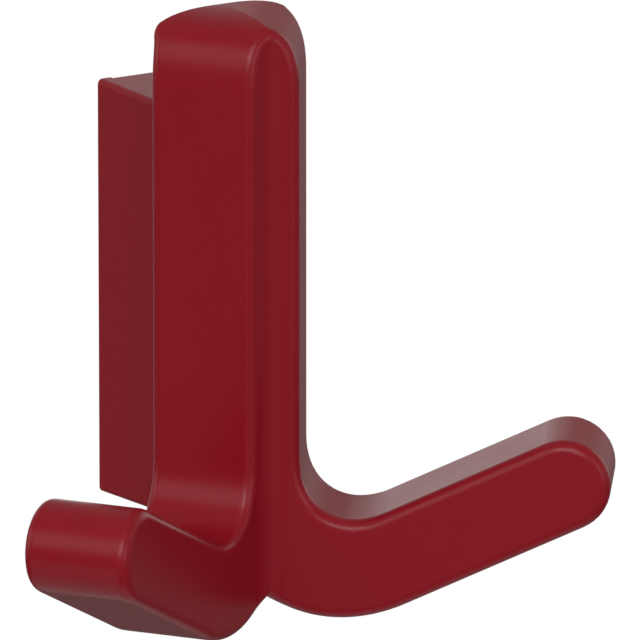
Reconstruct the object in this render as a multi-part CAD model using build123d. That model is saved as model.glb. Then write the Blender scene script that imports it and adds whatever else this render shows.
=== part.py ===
from build123d import *
import os
from math import cos, radians, sin, tan

# Double hook in moulded nylon with a concealed steel wall bracket.
# Frame: the wall is the plane y = 0, the hook stands out towards -Y, +Z is up and +X is right
# for someone who faces it. The origin lies on the wall midway between the two screw holes.

# Box housing that stands on the wall
housing_width = 16.4
housing_height = 69.1
housing_depth = 25.3
housing_bottom_rise = 1.2
housing_wall = 2.4
housing_front_wall = 4.0
housing_floor = 6.0
housing_edge_radius = 0.9
top_wall_relief = 0.7

# The two L-shaped plates, mirror images that share the groove between them
plate_splay = 54.6
plate_thickness = 18.0
groove_to_back = 13.6
groove_radius = 6.4
plate_edge_radius = 1.8

# Beside the flat back each outer face turns to run straight at the wall
back_turn_setback = 3.0
back_turn_radius = 3.0

# Outline of one plate: u runs outward from the groove line, z up from the origin
plate_top = 51.2
bar_front = 5.3
bar_back = 9.1
arm_width = 15.1
arm_rise = 25.0
arm_reach = 55.3
crook_corner_height = -36.5
top_blend = 11.7
top_blend_fullness = 0.74
crook_blend = 15.2
crook_blend_fullness = 0.54
heel_blend = 34.8
heel_blend_fullness = 0.51

# Steel bracket inside the housing, bent from strip
bracket_clearance = 0.3
strip_thickness = 2.0
bracket_depth = 15.0
strip_bend_radius = 1.0
screw_spacing = 40.0
screw_hole_diameter = 4.5
countersink_diameter = 8.0
countersink_angle = 90.0

# Grub screw that enters the housing floor from below, with its point in the bracket's lower leg
grub_diameter = 4.0
grub_from_wall = 9.0
grub_length = 6.0
grub_seat_diameter = 3.0
grub_clearance = 0.05
hex_across_flats = 2.0
hex_depth = 2.0

# Inside of the housing
cavity_width = housing_width - 2 * housing_wall
cavity_bottom = -housing_height / 2 + housing_floor
cavity_top = housing_height / 2 - housing_wall

overlap = 2.0
far = 200.0
near = 0.01


def plan(x, y):
    """A point on the floor plan, x and y in the part's frame."""
    return Vector(x, y, 0)


# Directions of the right-hand plate on the plan
outward = Vector(sin(radians(plate_splay)), -cos(radians(plate_splay)), 0)
through = Vector(cos(radians(plate_splay)), sin(radians(plate_splay)), 0)
back_plane = -housing_depth
groove_line = plan(0, back_plane - groove_to_back)
plate_plane = Plane(origin=groove_line, x_dir=outward, z_dir=-through)

# The groove's round is tangent to the inner face and square to the mirror plane
groove_centre = groove_line - plan(0, groove_radius / sin(radians(plate_splay)))
groove_tangent = groove_line + outward * (groove_radius / tan(radians(plate_splay)))
groove_middle = groove_centre + plan(0, groove_radius)


def blend(corner, start_direction, end_direction, reach, fullness):
    """A smooth curve that rounds a corner, with its curvature fading out at both ends."""
    start = corner + start_direction * reach
    end = corner + end_direction * reach
    start_handle = start + (corner - start) * fullness
    end_handle = end + (corner - end) * fullness
    return Bezier(start, start_handle, end_handle, end)


def plate_outline():
    """The L of one plate: upright bar, crook, rising arm with a round end, and heel."""
    up = Vector(0, 1)
    back = Vector(-1, 0)
    along = Vector(cos(radians(arm_rise)), sin(radians(arm_rise)))
    across = Vector(-sin(radians(arm_rise)), cos(radians(arm_rise)))
    tip_radius = arm_width / 2
    crook_corner = Vector(bar_front, crook_corner_height)
    tip_level = crook_corner - across * tip_radius
    tip_run = (arm_reach - tip_radius - tip_level.X) / along.X
    tip_centre = tip_level + along * tip_run
    underside = crook_corner - across * arm_width
    heel_corner = underside + along * ((-bar_back - underside.X) / along.X)

    top = blend(Vector(bar_front, plate_top), back, up * -1, top_blend, top_blend_fullness)
    crook = blend(crook_corner, up, along, crook_blend, crook_blend_fullness)
    heel = blend(heel_corner, along, up, heel_blend, heel_blend_fullness)
    tip_top = tip_centre + across * tip_radius
    tip_bottom = tip_centre - across * tip_radius
    tip = ThreePointArc(tip_top, tip_centre + along * tip_radius, tip_bottom)
    ledge = Vector(-bar_back, 0)
    ledge_end = Vector(-bar_back - plate_thickness, 0)
    back_top = Vector(-bar_back - plate_thickness, plate_top)
    return [
        Line(back_top, top @ 0),
        top,
        Line(top @ 1, crook @ 0),
        crook,
        Line(crook @ 1, tip_top),
        tip,
        Line(tip_bottom, heel @ 0),
        heel,
        Line(heel @ 1, ledge),
        Line(ledge, ledge_end),
        Line(ledge_end, back_top),
    ]


def half_plan():
    """Plan of the right half as a face, run past the mirror plane and past the flat back."""
    beyond = groove_radius + overlap
    inner_end = groove_line + outward * far
    outer_end = inner_end + through * plate_thickness
    turn = groove_line + through * plate_thickness + outward * (bar_front - back_turn_setback)
    turn_end = plan(turn.X, back_plane + 4 * overlap)
    inner_start = plan(-beyond, groove_middle.Y)
    halfway = radians(90 - plate_splay) / 2
    on_arc = groove_centre + plan(sin(halfway), cos(halfway)) * groove_radius
    arc = ThreePointArc(groove_middle, on_arc, groove_tangent)
    edges = [
        Line(inner_start, groove_middle),
        arc,
        Line(groove_tangent, inner_end),
        Line(inner_end, outer_end),
        Line(outer_end, turn),
        Line(turn, turn_end),
        Line(turn_end, plan(-beyond, turn_end.Y)),
        Line(plan(-beyond, turn_end.Y), inner_start),
    ]
    face = make_face(edges)
    corner = face.vertices().sort_by_distance(turn)[0]
    return fillet(corner, back_turn_radius)


def on_inner_side(edge):
    """True for an outline edge of the rough half that borders its inner side."""
    middle = edge @ 0.5
    on_plate = abs((middle - groove_line).dot(through)) < near and middle.X > groove_tangent.X + near
    flat_middle = plan(middle.X, middle.Y)
    on_round = abs((flat_middle - groove_centre).length - groove_radius) < near
    on_round = on_round and near < middle.X < groove_tangent.X - near
    on_stub = abs(middle.Y - groove_middle.Y) < near and middle.X < -near
    return on_plate or on_round or (on_stub and not is_upright(edge))


def on_outer_side(edge):
    """True for an outline edge of the rough half that borders its outer face or the turn."""
    middle = edge @ 0.5
    depth = (middle - groove_line).dot(through)
    on_plate = abs(depth - plate_thickness) < near
    on_turn = depth > plate_thickness + near and middle.Y < back_plane + 4 * overlap - near
    on_bar_front = (middle - groove_line).dot(outward) > bar_front - near
    return (on_plate or on_turn) and (on_bar_front or not is_upright(edge))


def is_upright(edge):
    """True for a straight vertical edge."""
    return edge.geom_type == GeomType.LINE and abs((edge % 0.5).Z) > 0.999


def half_hook():
    """The right half of the hook, rounded along its edges and cut at the mirror plane."""
    outline = plate_plane * make_face(plate_outline())
    slab = extrude(outline, -2 * plate_thickness)
    slab += extrude(outline, plate_thickness)
    column = extrude(Pos(0, 0, -far) * half_plan(), 2 * far)
    rough = slab & column
    inner = [edge for edge in rough.edges() if on_inner_side(edge)]
    rough = fillet(inner, plate_edge_radius)
    outer = [edge for edge in rough.edges() if on_outer_side(edge)]
    rough = fillet(outer, plate_edge_radius)
    right_side = Pos(far, 0, 0) * Box(2 * far, 4 * far, 4 * far)
    front_side = Pos(0, back_plane - far, 0) * Box(4 * far, 2 * far, 4 * far)
    return rough & right_side & front_side


def housing_block():
    """The tapered box between the hook and the wall, with its long edges rounded."""
    bottom = -housing_height / 2
    top = housing_height / 2
    depth = housing_depth + overlap
    rise = housing_bottom_rise * depth / housing_depth
    side = Plane.YZ * Polygon((0, bottom), (0, top), (-depth, top), (-depth, bottom + rise), align=None)
    block = extrude(side, housing_width / 2, both=True)
    return fillet(long_edges(block), housing_edge_radius)


def long_edges(block):
    """The edges of the box that run out from the wall."""
    return [edge for edge in block.edges() if abs((edge % 0.5).Y) > 0.9]


def housing_cavity():
    """The space inside the housing, open at the wall."""
    depth = housing_depth - housing_front_wall
    height = cavity_top - cavity_bottom
    middle = (cavity_top + cavity_bottom) / 2
    room = Pos(0, -depth / 2, middle) * Box(cavity_width, depth, height)
    relief_height = housing_wall + overlap
    relief = Box(cavity_width, top_wall_relief, relief_height)
    return room + Pos(0, -top_wall_relief / 2, cavity_top + relief_height / 2) * relief


def hook_body():
    """Both plates and the housing, moulded as one piece."""
    half = half_hook()
    body = half + mirror(half, about=Plane.YZ) + housing_block()
    grub_hole_radius = grub_diameter / 2 + grub_clearance
    grub_hole = Cylinder(grub_hole_radius, far, align=(Align.CENTER, Align.CENTER, Align.MAX))
    return body - housing_cavity() - Pos(0, -grub_from_wall, cavity_bottom + overlap) * grub_hole


def wall_bracket():
    """The strip bent to a U, with two countersunk screw holes and the grub screw's seat."""
    low = cavity_bottom + bracket_clearance
    high = cavity_top
    strip = Polygon(
        (0, low),
        (0, high),
        (-bracket_depth, high),
        (-bracket_depth, high - strip_thickness),
        (-strip_thickness, high - strip_thickness),
        (-strip_thickness, low + strip_thickness),
        (-bracket_depth, low + strip_thickness),
        (-bracket_depth, low),
        align=None,
    )
    outer = [corner for corner in strip.vertices() if corner.X > -near]
    strip = fillet(outer, strip_bend_radius + strip_thickness)
    inner = [corner for corner in strip.vertices() if abs(corner.X + strip_thickness) < near]
    strip = fillet(inner, strip_bend_radius)
    width = cavity_width - 2 * bracket_clearance
    bracket = extrude(Plane.YZ * strip, width / 2, both=True)
    for z in (-screw_spacing / 2, screw_spacing / 2):
        at_front = Plane(origin=(0, -strip_thickness, z), z_dir=(0, -1, 0))
        bracket -= at_front * CounterSinkHole(
            screw_hole_diameter / 2, countersink_diameter / 2, far, countersink_angle
        )
    seat = Pos(0, -grub_from_wall, low) * Cylinder(grub_seat_diameter / 2, 3 * strip_thickness)
    return bracket - seat


def grub_screw():
    """Headless screw with a cone point and a hexagon socket, its point in the bracket's seat."""
    radius = grub_diameter / 2
    cone_start = cavity_bottom + bracket_clearance - (radius - grub_seat_diameter / 2)
    start = cone_start + radius - grub_length
    shank = Cylinder(radius, cone_start - start, align=(Align.CENTER, Align.CENTER, Align.MIN))
    point = Cone(radius, 0, radius, align=(Align.CENTER, Align.CENTER, Align.MIN))
    socket = extrude(RegularPolygon(hex_across_flats / 2, 6, major_radius=False), hex_depth)
    screw = Pos(0, 0, start) * (shank - socket) + Pos(0, 0, cone_start) * point
    return Pos(0, -grub_from_wall, 0) * screw


if __name__ == "__main__":
    os.makedirs("parts", exist_ok=True)
    nodes = {
        "hook_body": hook_body(),
        "wall_bracket": wall_bracket(),
        "grub_screw": grub_screw(),
    }
    for name, shape in nodes.items():
        shape.label = name
        export_step(shape, f"parts/{name}.step")
        box = shape.bounding_box()
        print(name, len(shape.solids()), shape.is_valid, round(shape.volume, 1), box)
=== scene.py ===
import math

import bpy
from mathutils import Matrix, Vector

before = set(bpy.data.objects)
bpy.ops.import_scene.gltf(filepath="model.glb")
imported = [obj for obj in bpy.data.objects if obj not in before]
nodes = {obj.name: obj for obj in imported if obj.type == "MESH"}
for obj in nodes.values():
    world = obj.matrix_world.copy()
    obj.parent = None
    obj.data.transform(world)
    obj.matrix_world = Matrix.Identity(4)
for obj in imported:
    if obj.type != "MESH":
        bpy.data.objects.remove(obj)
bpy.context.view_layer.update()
scene = bpy.context.scene

# The photograph's frame in pixels, and a camera sensor as wide in millimetres
FRAME = 640.0
SENSOR_WIDTH = 36.0

# Camera: a long lens from the front left, slightly above. TARGET is the point seen at TARGET_PIXEL.
SWING = math.radians(31.33)
TILT = math.radians(14.8)
DISTANCE = 2.224
PIXELS_PER_METRE = 6251.0
TARGET_PIXEL = (266.0, 326.5)
TARGET = Vector((0.0, -0.0389, 0.0009))

# Soft square lamps round the object: degrees to the right of its front, degrees up, watts
LAMP_DISTANCE = 2.6
LAMP_SIZE = 1.4
LAMPS = [
    (-125.0, 12.0, 10.5),
    (-80.0, 27.0, 8.0),
    (-55.0, 27.0, 5.5),
    (-31.0, 27.0, 29.0),
    (-31.0, 50.0, 2.5),
    (15.0, 8.0, 10.5),
    (60.0, 8.0, 3.0),
    (105.0, 8.0, 6.0),
    (160.0, -4.0, 5.0),
    (-80.0, -35.0, 3.5),
    (-31.0, -20.0, 1.5),
    (15.0, -35.0, 1.5),
]

# Plain light from all round: its strength above and below the object
WORLD_HIGH = 0.43
WORLD_LOW = 0.12
WORLD_BLEND = 0.5

# White card behind the object, just wider than the camera's view, and the pale floor far below
BACKDROP_DISTANCE = 2.2
BACKDROP_SIZE = 0.28
FLOOR_RADIUS = 0.6
FLOOR_HEIGHT = -0.75
PALE = (0.8, 0.8, 0.8)

NYLON_RED = (0.22, 0.005, 0.011)
ZINC_GREY = (0.56, 0.57, 0.59)
BLACKENED = (0.09, 0.09, 0.095)


def view_axes():
    """The camera's forward, right and up directions."""
    level = math.cos(TILT)
    forward = Vector((math.sin(SWING) * level, math.cos(SWING) * level, -math.sin(TILT)))
    right = Vector((math.cos(SWING), -math.sin(SWING), 0.0))
    return forward, right, right.cross(forward)


def add_camera():
    """The photograph's camera: a far viewpoint with the object a little left of the frame's middle."""
    forward, right, up = view_axes()
    offset_x = (TARGET_PIXEL[0] - FRAME / 2) / PIXELS_PER_METRE
    offset_y = -(TARGET_PIXEL[1] - FRAME / 2) / PIXELS_PER_METRE
    place = TARGET - forward * DISTANCE - right * offset_x - up * offset_y
    data = bpy.data.cameras.new("camera")
    data.sensor_width = SENSOR_WIDTH
    data.lens = PIXELS_PER_METRE * DISTANCE * SENSOR_WIDTH / FRAME
    data.clip_start = 0.1
    data.clip_end = 50.0
    camera = bpy.data.objects.new("camera", data)
    turn = Matrix((right, up, -forward)).transposed()
    camera.matrix_world = Matrix.Translation(place) @ turn.to_4x4()
    scene.collection.objects.link(camera)
    scene.camera = camera


def material(name, colour, roughness, metallic=0.0):
    """A plain Principled material, and its shader node."""
    made = bpy.data.materials.new(name)
    made.use_nodes = True
    shader = made.node_tree.nodes["Principled BSDF"]
    shader.inputs["Base Color"].default_value = (*colour, 1.0)
    shader.inputs["Roughness"].default_value = roughness
    shader.inputs["Metallic"].default_value = metallic
    return made, shader


def wear(obj, made):
    """Gives an object this one material."""
    obj.data.materials.clear()
    obj.data.materials.append(made)


def noise(tree, scale, detail, stretch=(1.0, 1.0, 1.0)):
    """Noise laid out in the part's own metres, stretched along its axes."""
    place = tree.nodes.new("ShaderNodeTexCoord")
    mapping = tree.nodes.new("ShaderNodeMapping")
    mapping.inputs["Scale"].default_value = stretch
    pattern = tree.nodes.new("ShaderNodeTexNoise")
    pattern.inputs["Scale"].default_value = scale
    pattern.inputs["Detail"].default_value = detail
    tree.links.new(place.outputs["Object"], mapping.inputs["Vector"])
    tree.links.new(mapping.outputs["Vector"], pattern.inputs["Vector"])
    return pattern.outputs["Fac"]


def spread(tree, value, low, high):
    """The noise value laid out between two limits."""
    span = tree.nodes.new("ShaderNodeMapRange")
    span.inputs["From Min"].default_value = 0.3
    span.inputs["From Max"].default_value = 0.7
    span.inputs["To Min"].default_value = low
    span.inputs["To Max"].default_value = high
    tree.links.new(value, span.inputs["Value"])
    return span.outputs["Result"]


def bump(tree, shader, height, strength, distance):
    """Raises the surface's shading by a pattern, by this many metres at most."""
    raised = tree.nodes.new("ShaderNodeBump")
    raised.inputs["Strength"].default_value = strength
    raised.inputs["Distance"].default_value = distance
    tree.links.new(height, raised.inputs["Height"])
    tree.links.new(raised.outputs["Normal"], shader.inputs["Normal"])


def red_nylon():
    """Through-coloured moulded nylon with a satin gloss and a faint moulding grain."""
    made, shader = material("red_nylon", NYLON_RED, 0.28)
    shader.inputs["Specular IOR Level"].default_value = 0.2
    tree = made.node_tree
    gloss = noise(tree, 90.0, 3.0)
    grain = noise(tree, 900.0, 2.0)
    tree.links.new(spread(tree, gloss, 0.26, 0.3), shader.inputs["Roughness"])
    bump(tree, shader, grain, 0.06, 0.0001)
    return made


def zinc_steel():
    """Zinc-plated steel with a fine rolled grain."""
    made, shader = material("zinc_steel", ZINC_GREY, 0.35, 1.0)
    tree = made.node_tree
    grain = noise(tree, 400.0, 4.0, (6.0, 1.0, 0.3))
    tree.links.new(spread(tree, grain, 0.28, 0.42), shader.inputs["Roughness"])
    bump(tree, shader, grain, 0.1, 0.0001)
    return made


def dark_steel():
    """Blackened steel for the grub screw."""
    made, shader = material("dark_steel", BLACKENED, 0.4, 1.0)
    tree = made.node_tree
    grain = noise(tree, 2500.0, 3.0)
    tree.links.new(spread(tree, grain, 0.34, 0.46), shader.inputs["Roughness"])
    bump(tree, shader, grain, 0.08, 0.00005)
    return made


def lamp(name, azimuth, rise, power):
    """A square soft lamp that faces the object."""
    turn = math.radians(azimuth)
    lift = math.radians(rise)
    level = math.cos(lift)
    place = Vector((math.sin(turn) * level, -math.cos(turn) * level, math.sin(lift)))
    place *= LAMP_DISTANCE
    data = bpy.data.lights.new(name, "AREA")
    data.shape = "SQUARE"
    data.size = LAMP_SIZE
    data.energy = power
    obj = bpy.data.objects.new(name, data)
    obj.location = place
    obj.rotation_euler = (TARGET - place).to_track_quat("-Z", "Y").to_euler()
    scene.collection.objects.link(obj)


def white_where_seen(made, shader):
    """The surface shines a plain white to the camera and in reflections."""
    tree = made.node_tree
    path = tree.nodes.new("ShaderNodeLightPath")
    seen = path.outputs["Is Camera Ray"]
    for ray in ("Is Glossy Ray", "Is Transmission Ray"):
        either = tree.nodes.new("ShaderNodeMath")
        either.operation = "MAXIMUM"
        tree.links.new(seen, either.inputs[0])
        tree.links.new(path.outputs[ray], either.inputs[1])
        seen = either.outputs[0]
    glow = tree.nodes.new("ShaderNodeEmission")
    mix = tree.nodes.new("ShaderNodeMixShader")
    output = tree.nodes["Material Output"]
    tree.links.new(seen, mix.inputs[0])
    tree.links.new(shader.outputs["BSDF"], mix.inputs[1])
    tree.links.new(glow.outputs["Emission"], mix.inputs[2])
    tree.links.new(mix.outputs["Shader"], output.inputs["Surface"])


def add_world():
    """A plain grey light from all round that is weaker from below."""
    world = bpy.data.worlds.new("studio")
    scene.world = world
    world.use_nodes = True
    tree = world.node_tree
    direction = tree.nodes.new("ShaderNodeTexCoord")
    split = tree.nodes.new("ShaderNodeSeparateXYZ")
    height = tree.nodes.new("ShaderNodeMapRange")
    height.inputs["From Min"].default_value = -WORLD_BLEND
    height.inputs["From Max"].default_value = WORLD_BLEND
    height.inputs["To Min"].default_value = WORLD_LOW
    height.inputs["To Max"].default_value = WORLD_HIGH
    tree.links.new(direction.outputs["Generated"], split.inputs["Vector"])
    tree.links.new(split.outputs["Z"], height.inputs["Value"])
    tree.links.new(height.outputs["Result"], tree.nodes["Background"].inputs["Strength"])
    tree.nodes["Background"].inputs["Color"].default_value = (1.0, 1.0, 1.0, 1.0)


def add_backdrop():
    """A white card square to the view line, behind the object."""
    forward, right, up = view_axes()
    centre = scene.camera.location + forward * (DISTANCE + BACKDROP_DISTANCE)
    bpy.ops.mesh.primitive_plane_add(size=BACKDROP_SIZE)
    card = bpy.context.object
    card.name = "backdrop"
    turn = Matrix((right, up, -forward)).transposed()
    card.matrix_world = Matrix.Translation(centre) @ turn.to_4x4()
    made, shader = material("white_card", PALE, 0.9)
    white_where_seen(made, shader)
    wear(card, made)


def add_floor():
    """A plain pale disc below the object."""
    bpy.ops.mesh.primitive_circle_add(
        vertices=96, radius=FLOOR_RADIUS, fill_type="NGON", location=(0.0, 0.0, FLOOR_HEIGHT)
    )
    floor = bpy.context.object
    floor.name = "floor"
    made, shader = material("pale_floor", PALE, 0.8)
    wear(floor, made)


add_camera()
wear(nodes["hook_body"], red_nylon())
wear(nodes["wall_bracket"], zinc_steel())
wear(nodes["grub_screw"], dark_steel())

add_world()
for number, (azimuth, rise, power) in enumerate(LAMPS):
    lamp(f"lamp_{number + 1}", azimuth, rise, power)
add_backdrop()
add_floor()

scene.view_settings.view_transform = "Standard"
